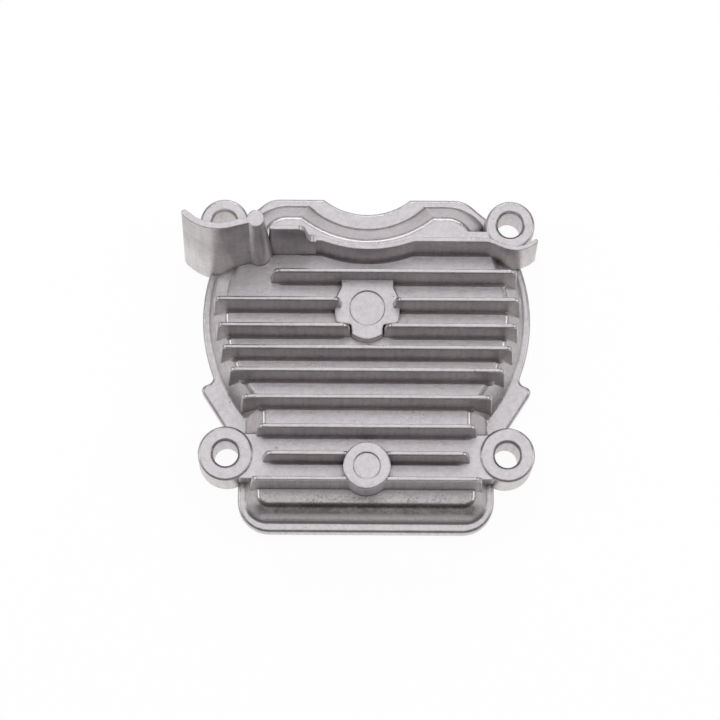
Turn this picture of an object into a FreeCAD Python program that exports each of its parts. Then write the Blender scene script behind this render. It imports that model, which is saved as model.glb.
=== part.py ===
"""Finned crankcase cover of a small engine, one aluminium die casting.

The cover lies on its mating face, which is the plane z = 0, with its cooling fins up.
X runs along the fins, and +Y points to the notched edge, where the guide walls stand.
Sizes along Y count from the middle of the four bolt holes, and the finished cover is moved
so that its origin is midway between the lower two. All are in millimetres and degrees.
"""
import FreeCAD
import Part
import math
import os

# Levels above the mating face
flange_top = 4.0
floor_top = 11.0
tongue_drop = 1.8
tongue_top = floor_top - tongue_drop
lug_top = 11.3
fin_top = 20.5
short_fin_top = 19.5
wall_top = 21.5
tall_wall_top = 31.6
guide_top = 43.0
guide_bottom = 0.8
tab_bottom = 5.0
upper_boss_top = 14.5
lower_boss_top = 19.7

# Bolt lugs
bolt_hole_r = 2.8
bolt_chamfer = 0.5
lug_draft = 1.0
lug_round = 0.6
upper_bolt_x = 32.0
upper_bolt_y = 26.1
upper_lug_r = 5.5
lower_bolt_x = 31.1
lower_bolt_y = -26.1
lower_lug_r = 6.1

# Flange outline
body_y = 5.8
flange_r = 36.9
flange_back_y = 33.65
flange_corner_x = 22.0
flange_corner_r = 6.0
flange_valley_x = 26.3
flange_valley_drop = 3.65
flange_front_y = -42.6
flange_tongue_x = 28.5
flange_tongue_r = 7.0
flange_tongue_length = 11.0
ear_root_y = -8.6
ear_root_r = 1.5
ear_tip_y = -10.0
ear_reach = 0.6
ear_tip_r = 1.3
ear_foot_reach = 3.5
ear_foot_angle = -39.7
flange_round = 0.7

# Notch in the back edge, and the wall that follows it
notch_y = 45.8
notch_r = 15.6
notch_land = 3.65

# Raised pan: foot outline on the flange, and how far its side leans in up to the floor
pan_ledge = 1.6
pan_r = flange_r - pan_ledge
pan_lean = 4.0
pan_tongue_x = 26.9
pan_front_ledge = 2.3
pan_front_y = flange_front_y + pan_front_ledge
pan_tongue_r = 5.0
pan_back_y = 31.8
pan_back_x = 27.8
pan_back_r = 10.0
pan_back_angle = 10.0
pan_top_round = 1.6
pan_foot = 0.5
tongue_length = 7.3
tongue_step_y = pan_front_y + tongue_length
pan_wall = 2.6
cavity_rim = 2.4

# Lands at floor height that carry the lugs
lower_land_back_y = -21.6
lower_land_front_y = -31.6
upper_land_back_y = 24.6

# Cooling fins: place, and where the flat of the tip ends on each side
fin_tip = 0.95
fin_draft = 2.0
fin_tip_round = 0.28
fin_corner_r = 1.6
fin_end_lean = 0.9
root_size = 0.6
bury = 0.6
long_fins = [
    (13.3, -19.0, 31.2),
    (-3.85, -30.3, 30.3),
    (-8.85, -28.5, 28.5),
    (-14.85, -25.6, 25.6),
    (-21.35, -22.2, 22.2),
]
split_fins = [
    (6.95, 32.0, 7.9),
    (1.1, 31.4, 5.9),
]
short_split_fins = [
    (-27.15, 20.4, 5.6),
    (-32.75, 23.4, 5.0),
]

# Guide wall in front of the notch, its tab round the right lug and its tall left end
rib_tip = 0.95
rib_draft = 2.0
wall_y = 20.17
wall_left_x = -21.0
tall_wall_end_x = -15.6
wall_step_x = -11.4
wall_step_r = 1.8
wall_dip = 3.45
wall_notch_r = 27.5
wall_bend = 19.0
wall_bend_r = 3.0
tab_bend_x = 26.6
tab_corner = (33.85, 17.35)
tab_end = (36.95, 19.95)
tab_r = 6.7

# Tall guide round the left lug, and the post that ends it
guide_tip = 1.35
guide_draft = 2.0
guide_end = (-39.2, 20.4)
guide_corner = (-34.95, 16.6)
guide_r = 10.0
post_x = -24.15
post_y = 19.3
post_r = 1.8

# Bosses between the fins, with the round ejector marks in their tops
upper_boss_y = 6.2
upper_boss_half = 5.8
upper_boss_wide = 7.2
upper_boss_neck = 3.5
upper_mark_r = 3.9
lower_boss_y = -29.9
lower_boss_r = 5.2
lower_mark_r = 2.95
mark_depth = 0.45
boss_round = 0.3
boss_corner_r = 0.6

node_name = "crankcase_cover"


def at(x, y, z):
    return FreeCAD.Vector(x, y, z)


def outline(start, steps, z):
    """Closed wire at height z. A step of two numbers is a straight run to that point,
    and a step of four is an arc through the first point to the second."""
    edges = []
    here = start
    for step in steps:
        there = step[-2:]
        if len(step) == 2:
            edges.append(Part.LineSegment(at(*here, z), at(*there, z)).toShape())
        else:
            edges.append(Part.Arc(at(*here, z), at(*step[:2], z), at(*there, z)).toShape())
        here = there
    return Part.Wire(edges)


def mirrored(steps, start):
    """The same run of steps reflected in x = 0, walked back from its end to its start."""
    points = [start] + [step[-2:] for step in steps]
    back = []
    for number in range(len(steps) - 1, -1, -1):
        target = points[number]
        middle = steps[number][:-2]
        if middle:
            back.append((-middle[0], middle[1], -target[0], target[1]))
        else:
            back.append((-target[0], target[1]))
    return back


def polar(centre, radius, degrees):
    turn = math.radians(degrees)
    return (centre[0] + radius * math.cos(turn), centre[1] + radius * math.sin(turn))


def corner(centre, radius, first, last):
    """Arc step round a centre, ending at the angle last."""
    return polar(centre, radius, (first + last) / 2) + polar(centre, radius, last)


def symmetric_wire(start, steps, z, front=None, back=None):
    """Closed wire from its right side. It crosses x = 0 in a straight run before its start
    and after its last step, or in an arc through the y that is given for that crossing."""
    end = steps[-1][-2:]
    over = (-end[0], end[1]) if back is None else (0, back, -end[0], end[1])
    home = start if front is None else (0, front) + start
    return outline(start, steps + [over] + mirrored(steps, start) + [home], z)


def loft(lower, upper):
    return Part.makeLoft([lower, upper], True, True)


def extrude(wire, height):
    return Part.Face(wire).extrude(at(0, 0, height))


def edges_at(shape, z, tolerance=0.01):
    """Edges that lie wholly at height z."""
    return [
        edge
        for edge in shape.Edges
        if abs(edge.BoundBox.ZMin - z) < tolerance and abs(edge.BoundBox.ZMax - z) < tolerance
    ]


def circle_x(radius, dy):
    return math.sqrt(radius ** 2 - dy ** 2)


def round_corner(body, x, y, radius):
    """Round the two upright edges that stand at x and -x."""
    picked = []
    for edge in body.Edges:
        point = edge.Vertexes[0].Point
        if edge.BoundBox.ZLength > 1 and math.hypot(abs(point.x) - x, point.y - y) < 0.01:
            picked.append(edge)
    return body.makeFillet(radius, picked)


def flange():
    """Thin plate with round sides, two pointed ears, a notch at the back and a tongue in front."""
    ear_root = (circle_x(flange_r, ear_root_y - body_y), ear_root_y)
    side_end_y = upper_bolt_y - upper_lug_r
    side_end = (circle_x(flange_r, side_end_y - body_y), side_end_y)
    side_angle = math.degrees(math.asin((side_end_y - body_y) / flange_r))
    tongue_corner = (flange_tongue_x, flange_front_y)
    ear_tip = (flange_r + ear_reach, ear_tip_y)
    back_corner = (flange_corner_x, flange_back_y)
    notch_end = (circle_x(notch_r, notch_y - flange_back_y), flange_back_y)
    steps = [
        (flange_tongue_x, flange_front_y + flange_tongue_length),
        (lower_bolt_x, lower_bolt_y),
        polar((0, body_y), flange_r + ear_foot_reach, ear_foot_angle),
        ear_tip,
        ear_root,
        (flange_r, body_y) + side_end,
        polar(side_end, upper_lug_r, side_angle + 90),
        (flange_valley_x, flange_back_y - flange_valley_drop),
        back_corner,
        notch_end,
    ]
    plate = extrude(symmetric_wire(tongue_corner, steps, 0, back=notch_y - notch_r), flange_top)
    plate = round_corner(plate, *tongue_corner, flange_tongue_r)
    plate = round_corner(plate, *ear_tip, ear_tip_r)
    plate = round_corner(plate, *ear_root, ear_root_r)
    plate = round_corner(plate, *back_corner, flange_corner_r)
    return plate.makeFillet(flange_round, edges_at(plate, flange_top))


def pan_wire(inset, z):
    """Outline of the pan, drawn in by the distance inset: tongue, round middle, back and notch."""
    radius = pan_r - inset
    half = pan_tongue_x - inset
    front = pan_front_y + inset
    turn = pan_tongue_r - inset * 0.8
    tongue_corner = (half - turn, front + turn)
    side_end = (circle_x(radius, wall_y - body_y), wall_y)
    back = pan_back_y - inset
    back_turn = pan_back_r - inset
    back_corner = (pan_back_x - pan_back_r, pan_back_y - pan_back_r)
    hollow = notch_r + notch_land + inset
    steps = [
        corner(tongue_corner, turn, -90, 0),
        (half, body_y - circle_x(radius, half)),
        (radius, body_y) + side_end,
        polar(back_corner, back_turn, pan_back_angle),
        corner(back_corner, back_turn, pan_back_angle, 90),
        (circle_x(hollow, notch_y - back), back),
    ]
    return symmetric_wire((tongue_corner[0], front), steps, z, back=notch_y - hollow)


def pan():
    """Raised pan with leaning sides and a step down to the tongue's pillow."""
    body = loft(pan_wire(0, flange_top), pan_wire(pan_lean, floor_top))
    step = Part.makeBox(
        2 * flange_r, flange_r, floor_top, at(-flange_r, tongue_step_y - flange_r, tongue_top)
    )
    body = body.cut(step)
    rims = edges_at(body, floor_top) + edges_at(body, tongue_top)
    return body.makeFillet(pan_top_round, [edge for edge in rims if not is_step_edge(edge)])


def pan_foot_slope():
    """Sloping foot that joins the side of the pan to the flange."""
    rise = pan_foot / (floor_top - flange_top)
    inner = pan_lean * rise + pan_foot / 8
    return loft(pan_wire(-2 * pan_foot, flange_top - pan_foot), pan_wire(inner, flange_top + pan_foot))


def is_step_edge(edge):
    box = edge.BoundBox
    return abs(box.YMin - tongue_step_y) < 0.01 and abs(box.YMax - tongue_step_y) < 0.01


def cavity():
    """Hollow under the pan, open at the mating face."""
    roof = floor_top - pan_wall
    lean = cavity_rim + pan_lean * 0.8
    body = loft(pan_wire(cavity_rim, 0), pan_wire(lean, roof))
    low_roof = tongue_top - pan_wall
    kept = Part.makeBox(
        2 * flange_r, flange_r, roof, at(-flange_r, tongue_step_y - flange_r + pan_wall, low_roof)
    )
    return body.cut(kept)


def prism(points, front, depth):
    """Solid with the XZ outline given, from y = front backwards by depth."""
    corners = [at(x, front, z) for x, z in points]
    return Part.Face(Part.makePolygon(corners + corners[:1])).extrude(at(0, depth, 0))


def lands():
    """Flats at floor height that join the lugs to the pan, clear of the cavity."""
    roof = floor_top - pan_wall + bury / 2
    inner = pan_tongue_x - pan_lean - 2 * pan_top_round
    lower_end = lower_bolt_x - lower_lug_r / 2
    upper_end = upper_bolt_x - upper_lug_r / 2
    lower = [
        (inner, floor_top),
        (lower_end, floor_top),
        (lower_end, 0),
        (pan_tongue_x - cavity_rim + bury, 0),
        (pan_tongue_x - cavity_rim - pan_lean * 0.8 + bury, roof),
        (inner, roof),
    ]
    upper = [
        (inner, floor_top),
        (upper_end, floor_top),
        (upper_end, roof),
        (inner, roof),
    ]
    made = []
    for points, front, back in (
        (lower, lower_land_front_y, lower_land_back_y),
        (upper, wall_y - rib_tip, upper_land_back_y),
    ):
        made.append(prism(points, front, back - front))
        made.append(prism([(-x, z) for x, z in points], front, back - front))
    return made


def lug(x, y, radius):
    foot = radius + lug_top * math.tan(math.radians(lug_draft))
    body = Part.makeCone(foot, radius, lug_top, at(x, y, 0))
    return body.makeFillet(lug_round, edges_at(body, lug_top))


def bolt_hole(x, y):
    hole = Part.makeCylinder(bolt_hole_r, lug_top + 2, at(x, y, -1))
    mouth = Part.makeCone(
        bolt_hole_r, bolt_hole_r + bolt_chamfer * 2, bolt_chamfer * 2, at(x, y, lug_top - bolt_chamfer)
    )
    return hole.fuse(mouth)


def bent(points, radii):
    """Start point and outline steps of a path through the points, with its corners rounded."""
    steps = []
    for before, here, after, radius in zip(points, points[1:], points[2:], radii):
        inward = FreeCAD.Vector(here[0] - before[0], here[1] - before[1], 0).normalize()
        onward = FreeCAD.Vector(after[0] - here[0], after[1] - here[1], 0).normalize()
        half = inward.getAngle(onward) / 2
        run = radius * math.tan(half)
        sag = radius / math.cos(half) - radius
        inner = (onward - inward).normalize()
        steps.append((here[0] - inward.x * run, here[1] - inward.y * run))
        steps.append(
            (
                here[0] + inner.x * sag,
                here[1] + inner.y * sag,
                here[0] + onward.x * run,
                here[1] + onward.y * run,
            )
        )
    steps.append(points[-1])
    return points[0], steps


def beside(points, radii, reach):
    """The path moved sideways to its left by reach, with its corner radii to match."""
    directions = [
        FreeCAD.Vector(b[0] - a[0], b[1] - a[1], 0).normalize() for a, b in zip(points, points[1:])
    ]
    moved = []
    turned = []
    for number, point in enumerate(points):
        inward = directions[max(number - 1, 0)]
        onward = directions[min(number, len(directions) - 1)]
        share = reach / (1 + inward.dot(onward))
        moved.append(
            (point[0] - (inward.y + onward.y) * share, point[1] + (inward.x + onward.x) * share)
        )
        if 0 < number < len(points) - 1:
            turn = inward.x * onward.y - inward.y * onward.x
            turned.append(radii[number - 1] - math.copysign(1, turn) * reach)
    return moved, turned


def slot_wire(points, radii, reach, z):
    """Closed outline at the distance reach all round a path, with round ends."""
    left, left_radii = beside(points, radii, reach)
    right, right_radii = beside(points, radii, -reach)
    start, steps = bent(left, left_radii)
    back_start, back_steps = bent(right[::-1], right_radii[::-1])
    first = FreeCAD.Vector(points[1][0] - points[0][0], points[1][1] - points[0][1], 0).normalize()
    last = FreeCAD.Vector(points[-1][0] - points[-2][0], points[-1][1] - points[-2][1], 0).normalize()
    far_cap = (points[-1][0] + last.x * reach, points[-1][1] + last.y * reach) + back_start
    near_cap = (points[0][0] - first.x * reach, points[0][1] - first.y * reach) + start
    return outline(start, steps + [far_cap] + back_steps + [near_cap], z)


def rib(points, radii, low, high, tip, draft):
    """Upright rib along a path, drafted on every side, with round ends."""
    half = tip / 2
    foot = half + (high - low) * math.tan(math.radians(draft))
    return loft(slot_wire(points, radii, foot, low), slot_wire(points, radii, half, high))


def width_at(z, top, tip, draft):
    return tip + 2 * (top - z) * math.tan(math.radians(draft))


def root(points, radii, top, tip, draft):
    """Sloping foot that joins the sides of a rib to the floor of the pan."""
    high = floor_top + root_size
    return rib(points, radii, floor_top - root_size / 2, high, width_at(high, top, tip, draft), 45.0)


def floor_half(y):
    """Half width of the flat floor at the place y."""
    radius = pan_r - pan_lean
    tongue = pan_tongue_x - pan_lean
    if abs(y - body_y) >= radius:
        return tongue
    return max(circle_x(radius, y - body_y), tongue)


def fin_root(y, left, right, top):
    edge = floor_half(y) - root_size
    ends = [(max(left, -edge), y), (min(right, edge), y)]
    return root(ends, [], top, fin_tip, fin_draft)


def fin_end(y, x):
    """Corner points under a fin at the end x: sunk in the floor, or down the side into the flange."""
    floor = (floor_top if y > tongue_step_y + 2 * root_size else tongue_top) - bury
    side = math.copysign(1, x)
    if abs(x) < floor_half(y) + bury:
        return [(x, floor)]
    return [(side * (floor_half(y) - pan_top_round), floor), (x, flange_top - bury)]


def fin(y, left, right, top):
    """Cooling fin with leaning sides, round tip and round upper corners at both ends."""
    turn = fin_corner_r
    reach = turn + fin_end_lean
    spine = [(left - 3 * turn, y), (right + 3 * turn, y)]
    body = rib(spine, [], flange_top / 2, top, fin_tip, fin_draft)
    under = fin_end(y, left - reach)[::-1] + fin_end(y, right + reach)
    side = prism(under + [(right + turn, top), (left - turn, top)], y - turn, 2 * turn)
    corners = [edge for edge in edges_at(side, top) if edge.BoundBox.YLength > turn]
    body = body.common(side.makeFillet(turn, corners))
    return body.makeFillet(fin_tip_round, edges_at(body, top))


def fins():
    """All fins with their roots. The last fin stands where the floor steps down, so it has none."""
    rows = [(y, left, right, fin_top) for y, left, right in long_fins]
    for split, top in ((split_fins, fin_top), (short_split_fins, short_fin_top)):
        for y, outer, inner in split:
            rows.append((y, -outer, -inner, top))
            rows.append((y, inner, outer, top))
    made = [fin(*row) for row in rows]
    return made + [fin_root(*row) for row in rows if row[0] > tongue_step_y + 2 * root_size]


def without_root(body, left, right):
    """The body without what lies under the floor between two places, where the cavity is."""
    low = floor_top - bury
    return body.cut(Part.makeBox(right - left, flange_r, low, at(left, body_y, 0)))


def guide_wall():
    """Wall along the notch, curling out round the right lug as a free tab."""
    slope = math.radians(wall_bend)
    bend_x = wall_dip / math.tan(slope)
    points = [
        (wall_step_x - wall_bend_r, wall_y),
        (-bend_x, wall_y),
        (0, wall_y - wall_dip),
        (bend_x, wall_y),
        (tab_bend_x, wall_y),
        tab_corner,
        tab_end,
    ]
    radii = [wall_bend_r, wall_notch_r, wall_bend_r, wall_bend_r, tab_r]
    wall = rib(points, radii, tab_bottom, wall_top, rib_tip, rib_draft)
    wall = without_root(wall, points[0][0] - flange_r, floor_half(wall_y) + root_size)
    return wall.fuse(root(points[:5], radii[:3], wall_top, rib_tip, rib_draft))


def tall_wall():
    """Tall left end of the wall, falling in a round step to the rest of it."""
    ends = [(wall_left_x, wall_y), (wall_step_x, wall_y)]
    base = floor_top - bury
    body = rib(ends, [], base, tall_wall_top, rib_tip, rib_draft)
    turn = wall_step_r
    bend = turn * (1 - math.sqrt(0.5))
    left = wall_left_x - 4 * turn
    first = tall_wall_end_x
    last = wall_step_x
    steps = [
        (last, base),
        (last, wall_top),
        (last - turn + bend, wall_top + bend, last - turn, wall_top + turn),
        (first + turn, tall_wall_top - turn),
        (first + turn - bend, tall_wall_top - bend, first, tall_wall_top),
        (left, tall_wall_top),
        (left, base),
    ]
    side = outline((left, base), steps, 0)
    side.rotate(at(0, 0, 0), at(1, 0, 0), 90)
    side.translate(at(0, wall_y + 4 * turn, 0))
    return body.common(Part.Face(side).extrude(at(0, -8 * turn, 0)))


def tall_guide():
    """Tall wall that curls round the left lug from its free edge to the post."""
    points = [guide_end, guide_corner, (post_x, post_y)]
    wall = rib(points, [guide_r], guide_bottom, guide_top, guide_tip, guide_draft)
    wall = without_root(wall, -floor_half(wall_y) - root_size, 0)
    post_foot = floor_top - bury
    foot = post_r + (guide_top - post_foot) * math.tan(math.radians(guide_draft))
    post = Part.makeCone(foot, post_r, guide_top - post_foot, at(post_x, post_y, post_foot))
    return wall.fuse(post)


def rounded_pad(wire, height):
    """Pad with soft corners all round and a small round along its top edge."""
    pad = extrude(wire, height)
    pad = pad.makeFillet(boss_corner_r, [edge for edge in pad.Edges if edge.BoundBox.ZLength > height / 2])
    return pad.makeFillet(boss_round, edges_at(pad, pad.BoundBox.ZMax))


def upper_boss():
    """Low pad between the upper fins, wide beside the mark and with a round-ended neck."""
    neck = upper_boss_neck
    steps = [
        (neck, upper_boss_y - 3.85),
        (upper_boss_wide - 0.55, upper_boss_y - 3.45),
        (upper_boss_wide, upper_boss_y - 0.6, upper_boss_wide - 0.35, upper_boss_y + 2.7),
        (upper_boss_half, upper_boss_y + 4.9),
        (upper_boss_half, long_fins[0][0]),
    ]
    base = floor_top - bury
    wire = symmetric_wire((neck, upper_boss_y - 5.9), steps, base, front=upper_boss_y - 7.13)
    pad = rounded_pad(wire, upper_boss_top - base)
    mark = Part.makeCylinder(upper_mark_r, mark_depth * 2, at(0, upper_boss_y, upper_boss_top - mark_depth))
    return pad, mark


def lower_boss():
    """Round boss between the last two fins, with its mark."""
    base = tongue_top - bury
    pad = Part.makeCylinder(lower_boss_r, lower_boss_top - base, at(0, lower_boss_y, base))
    pad = pad.makeFillet(boss_round, edges_at(pad, lower_boss_top))
    mark = Part.makeCylinder(lower_mark_r, mark_depth * 2, at(0, lower_boss_y, lower_boss_top - mark_depth))
    return pad, mark


def crankcase_cover():
    body = flange().fuse(pan()).fuse(pan_foot_slope()).fuse(tall_guide())
    body = body.cut(cavity())
    bolts = [
        (upper_bolt_x, upper_bolt_y, upper_lug_r),
        (-upper_bolt_x, upper_bolt_y, upper_lug_r),
        (lower_bolt_x, lower_bolt_y, lower_lug_r),
        (-lower_bolt_x, lower_bolt_y, lower_lug_r),
    ]
    upper_pad, upper_mark = upper_boss()
    lower_pad, lower_mark = lower_boss()
    added = lands() + [lug(x, y, radius) for x, y, radius in bolts]
    added += fins() + [guide_wall(), tall_wall(), upper_pad, lower_pad]
    for piece in added:
        body = body.fuse(piece)
    for hollow in [upper_mark, lower_mark] + [bolt_hole(x, y) for x, y, radius in bolts]:
        body = body.cut(hollow)
    body.translate(at(0, -lower_bolt_y, 0))
    return body


def main():
    os.makedirs("parts", exist_ok=True)
    shape = crankcase_cover()
    print(node_name, "solids", len(shape.Solids), "volume", round(shape.Volume, 1), "valid", shape.isValid())
    print("box", shape.BoundBox)
    shape.exportStep("parts/" + node_name + ".step")


main()
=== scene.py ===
import math

import bpy
from mathutils import Euler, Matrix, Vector

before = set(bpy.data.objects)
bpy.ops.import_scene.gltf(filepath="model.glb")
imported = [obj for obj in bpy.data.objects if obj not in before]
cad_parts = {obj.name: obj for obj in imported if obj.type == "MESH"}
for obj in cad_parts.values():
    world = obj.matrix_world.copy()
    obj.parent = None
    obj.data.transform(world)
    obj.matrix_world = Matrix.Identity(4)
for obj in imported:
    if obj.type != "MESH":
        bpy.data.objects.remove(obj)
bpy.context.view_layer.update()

# Crankcase cover. One pressure die casting in aluminium, left as it came out of the die, with soft
# edges: satin clouded tops, steep sides with drag marks from the draw, and a few pits. Light and
# shade are painted into the colour: steep sides lighter than the tops, painted shade in the
# corners, painted shade in patches high up the steep sides (partly stain), and a flaky band of
# painted shade along the step of the raised tongue.
top_tone = (0.405, 0.388, 0.403, 1.0)
# Painted light: a lighter tone for the steep sides than for the tops.
painted_light_side_tone = (0.74, 0.69, 0.685, 1.0)
cloud_tone = (0.21, 0.196, 0.198, 1.0)
# Dark colour for the painted shade in the corners and along the tongue's step, and for the real
# pits and specks.
dirt_and_shade_tone = (0.05, 0.038, 0.034, 1.0)
metal_share = 0.85
satin = 0.23
wall_facing = 0.15
floor_facing = 0.8

cloud_scale = 170.0
mottle_scale = 950.0
grain_scale = 3200.0
streak_scale = (1100.0, 1100.0, 45.0)
pit_scale = 1150.0
edge_softness = 0.0004
corner_reach = 0.0019
relief_depth = 0.00007

# Painted shade, partly stain: steep faces darkened from these heights up, in patches.
high_side_patch_scale = 80.0
high_side_shade_low = 0.010
high_side_shade_high = 0.030

tongue_half = 0.0235
tongue_fade = 0.003
lip_y = -0.0100
lip_half = 0.0028
speck_scale = 2100.0
# Painted shade: a flaky dark band along the step face just below the tongue's lip.
step_shade_y = -0.0118
step_shade_half = 0.0017
step_shade_core = 0.0007


class Flow:
    """What comes out of a shader socket. A sum on it adds a Math node."""

    def __init__(self, finish, socket):
        self.finish = finish
        self.socket = socket

    def sum_with(self, kind, first, second):
        return self.finish.node("ShaderNodeMath", {"operation": kind}, {0: first, 1: second})

    def __add__(self, other):
        return self.sum_with("ADD", self, other)

    def __radd__(self, other):
        return self.sum_with("ADD", other, self)

    def __sub__(self, other):
        return self.sum_with("SUBTRACT", self, other)

    def __rsub__(self, other):
        return self.sum_with("SUBTRACT", other, self)

    def __mul__(self, other):
        return self.sum_with("MULTIPLY", self, other)

    def __rmul__(self, other):
        return self.sum_with("MULTIPLY", other, self)


class Finish:
    """One material, built node by node."""

    def __init__(self, name):
        self.material = bpy.data.materials.new(name)
        self.material.use_nodes = True
        self.tree = self.material.node_tree
        self.tree.nodes.clear()

    def node(self, kind, settings, values, output=0):
        made = self.tree.nodes.new(kind)
        for key, value in settings.items():
            setattr(made, key, value)
        for key, value in values.items():
            if isinstance(value, Flow):
                self.tree.links.new(value.socket, made.inputs[key])
            else:
                made.inputs[key].default_value = value
        if made.outputs:
            return Flow(self, made.outputs[output])
        return made

    def noise(self, where, scale, detail, roughness):
        values = {"Vector": where, "Scale": scale, "Detail": detail, "Roughness": roughness}
        return self.node("ShaderNodeTexNoise", {}, values)

    def spread(self, value, low, high):
        """The value stretched so that low becomes 0 and high becomes 1, and kept in between."""
        return self.node("ShaderNodeMapRange", {}, {0: value, 1: low, 2: high})

    def axis(self, vector, which):
        """One coordinate of a vector: 0 is X, 1 is Y and 2 is Z."""
        return self.node("ShaderNodeSeparateXYZ", {}, {0: vector}, output=which)

    def size(self, value):
        """The value without its sign."""
        return self.node("ShaderNodeMath", {"operation": "ABSOLUTE"}, {0: value})

    def blend(self, share, first, second):
        return self.node(
            "ShaderNodeMix", {"data_type": "RGBA"}, {0: share, 6: first, 7: second}, output=2
        )


cast = Finish("cast_aluminium_skin")
place = cast.node("ShaderNodeTexCoord", {}, {}, output=3)
facing = cast.node("ShaderNodeNewGeometry", {}, {}, output=1)
upward = cast.axis(facing, 2)
steep = 1 - cast.spread(cast.size(upward), wall_facing, floor_facing)

cloud = cast.noise(place, cloud_scale, 5.0, 0.65)
mottle = cast.noise(place, mottle_scale, 3.0, 0.6)
grain = cast.noise(place, grain_scale, 2.0, 0.5)
drawn = cast.node("ShaderNodeMapping", {}, {"Vector": place, "Scale": streak_scale})
streak = cast.noise(drawn, 1.0, 3.0, 0.6)
pit = cast.spread(cast.noise(place, pit_scale, 1.0, 0.5), 0.785, 0.82)
corner = cast.node(
    "ShaderNodeAmbientOcclusion", {"samples": 6}, {"Distance": corner_reach}, output=1
)
hollow = cast.spread(1 - corner, 0.25, 0.8)

# Painted light: steep sides are painted lighter than the tops.
skin = cast.blend(steep * 0.85, top_tone, painted_light_side_tone)
uneven = cloud * 0.7 + mottle * 0.9 + grain * 0.8 + steep * (streak - 0.5)
skin = cast.blend(cast.spread(uneven, 1.4, 0.8) * 0.55, skin, cloud_tone)
# Painted shade: corners and creases darkened where ambient occlusion finds them, broken up by
# mottle.
corner_painted_shade = cast.spread(hollow * (0.4 + mottle), 0.15, 0.9)
skin = cast.blend(corner_painted_shade * 0.95, skin, dirt_and_shade_tone)
skin = cast.blend(pit * 0.7, skin, dirt_and_shade_tone)

height = cast.axis(place, 2)
patch = cast.spread(cast.noise(place, high_side_patch_scale, 2.0, 0.6), 0.35, 0.7)
# Painted shade, partly stain: steep faces darker higher up, in patches.
high_side_shade_and_stain = steep * cast.spread(height, high_side_shade_low, high_side_shade_high) * patch
skin = cast.blend(high_side_shade_and_stain * 0.55, skin, cloud_tone)

along = cast.axis(place, 1)
across = cast.size(cast.axis(place, 0))
within = cast.spread(across, tongue_half + tongue_fade, tongue_half)
lip = cast.spread(cast.size(along - lip_y), lip_half, 0.0) * within
speck = cast.spread(cast.noise(place, speck_scale, 4.0, 0.8) + 0.35 * cloud, 0.66, 0.80)
skin = cast.blend(lip * (0.08 + 0.5 * speck), skin, dirt_and_shade_tone)
# Painted shade: a dark band along the tongue's step face, broken into flakes.
step_painted_shade = cast.spread(cast.size(along - step_shade_y), step_shade_half, step_shade_core) * within
step_shade_breakup = cast.spread(0.5 * mottle + 0.5 * grain + 0.7 * cloud, 0.35, 0.95)
skin = cast.blend(step_painted_shade * step_shade_breakup * 0.85, skin, dirt_and_shade_tone)

soft_edge = cast.node("ShaderNodeBevel", {"samples": 6}, {"Radius": edge_softness})
relief = cast.node(
    "ShaderNodeBump",
    {},
    {
        "Strength": 0.5,
        "Distance": relief_depth,
        "Height": mottle + 0.15 * grain + 0.4 * steep * streak - 1.2 * pit,
        "Normal": soft_edge,
    },
)
surface = cast.node(
    "ShaderNodeBsdfPrincipled",
    {},
    {
        "Base Color": skin,
        "Metallic": metal_share,
        "Roughness": satin + 0.12 * cloud + 0.05 * steep,
        "Normal": relief,
    },
)
cast.node("ShaderNodeOutputMaterial", {}, {0: surface})
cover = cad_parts["crankcase_cover"]
cover.data.materials.clear()
cover.data.materials.append(cast.material)

# Table: a plain white sheet under the cover. It is white to the camera and in the metal, and
# keeps a faint shadow where the cover stands on it.
table_size = 4.0
table_drop = 0.0002
sheet_tone = (0.85, 0.85, 0.85, 1.0)
glow_share = 0.95

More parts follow.
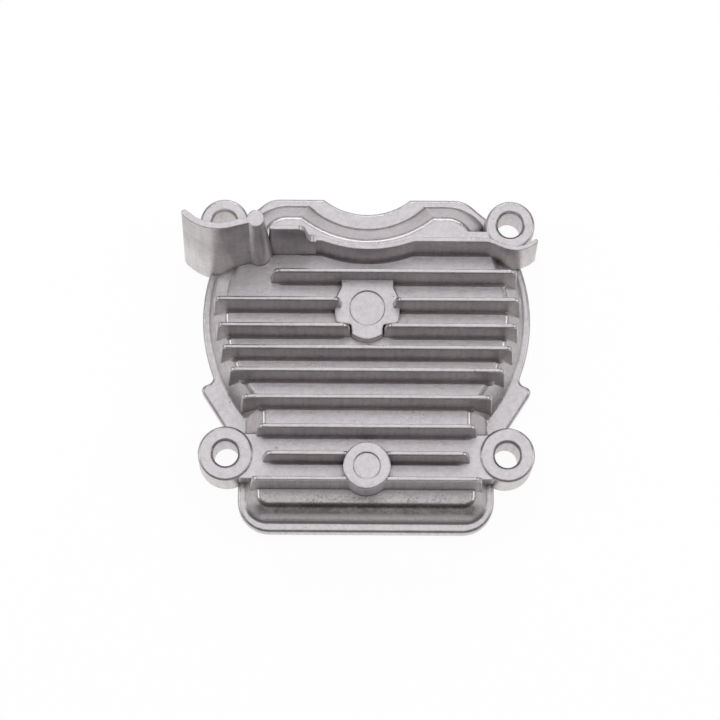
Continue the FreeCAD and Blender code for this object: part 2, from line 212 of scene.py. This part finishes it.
bpy.ops.mesh.primitive_plane_add(size=table_size, location=(0, 0, -table_drop))
table = bpy.context.object
table.name = "table"
sheet = Finish("white_sheet")
camera_ray = sheet.node("ShaderNodeLightPath", {}, {})
glossy_ray = sheet.node("ShaderNodeLightPath", {}, {}, output=3)
clear_ray = sheet.node("ShaderNodeLightPath", {}, {}, output=6)
paper = sheet.node("ShaderNodeBsdfDiffuse", {}, {"Color": sheet_tone})
glow = sheet.node("ShaderNodeEmission", {}, {"Color": (1, 1, 1, 1), "Strength": 1.0})
share = glow_share * (camera_ray + glossy_ray + clear_ray)
both = sheet.node("ShaderNodeMixShader", {}, {0: share, 1: paper, 2: glow})
sheet.node("ShaderNodeOutputMaterial", {}, {0: both})
table.data.materials.append(sheet.material)

# Light: a wide soft lamp high above the cover, smaller ones on both sides and behind its notched
# edge, and a dim white room all round.
room_strength = 0.24

for lamp_name, lamp_place, lamp_wide, lamp_deep, lamp_power in (
    ("top_lamp", (0.0, 0.15, 0.8), 0.95, 0.65, 3.3),
    ("left_lamp", (-0.65, 0.05, 0.4), 0.4, 0.3, 1.5),
    ("right_lamp", (0.65, 0.05, 0.4), 0.4, 0.3, 1.5),
    ("back_lamp", (0.0, 0.65, 0.45), 0.6, 0.3, 2.4),
):
    lamp_data = bpy.data.lights.new(lamp_name, "AREA")
    lamp_data.shape = "RECTANGLE"
    lamp_data.size = lamp_wide
    lamp_data.size_y = lamp_deep
    lamp_data.energy = lamp_power
    lamp = bpy.data.objects.new(lamp_name, lamp_data)
    lamp.location = lamp_place
    lamp.rotation_euler = (-Vector(lamp_place)).to_track_quat("-Z", "Y").to_euler()
    bpy.context.scene.collection.objects.link(lamp)

room = bpy.data.worlds.new("room")
bpy.context.scene.world = room
room.use_nodes = True
room.node_tree.nodes["Background"].inputs[0].default_value = (1, 1, 1, 1)
room.node_tree.nodes["Background"].inputs[1].default_value = room_strength

# Camera: almost straight above the lower edge of the cover, with a long lens, as far off as the
# photograph's upright edges say.
camera_place = (-0.00739, -0.09425, 0.59899)
camera_turn = (11.1057, -0.6247, 0.2744)

camera_data = bpy.data.cameras.new("camera")
camera_data.lens = 135.0
camera_data.sensor_width = 36.0
camera_data.clip_start = 0.01
camera_data.clip_end = 10.0
camera = bpy.data.objects.new("camera", camera_data)
camera.location = camera_place
camera.rotation_euler = Euler([math.radians(angle) for angle in camera_turn], "XYZ")
bpy.context.scene.collection.objects.link(camera)
bpy.context.scene.camera = camera
bpy.context.scene.view_settings.view_transform = "Standard"
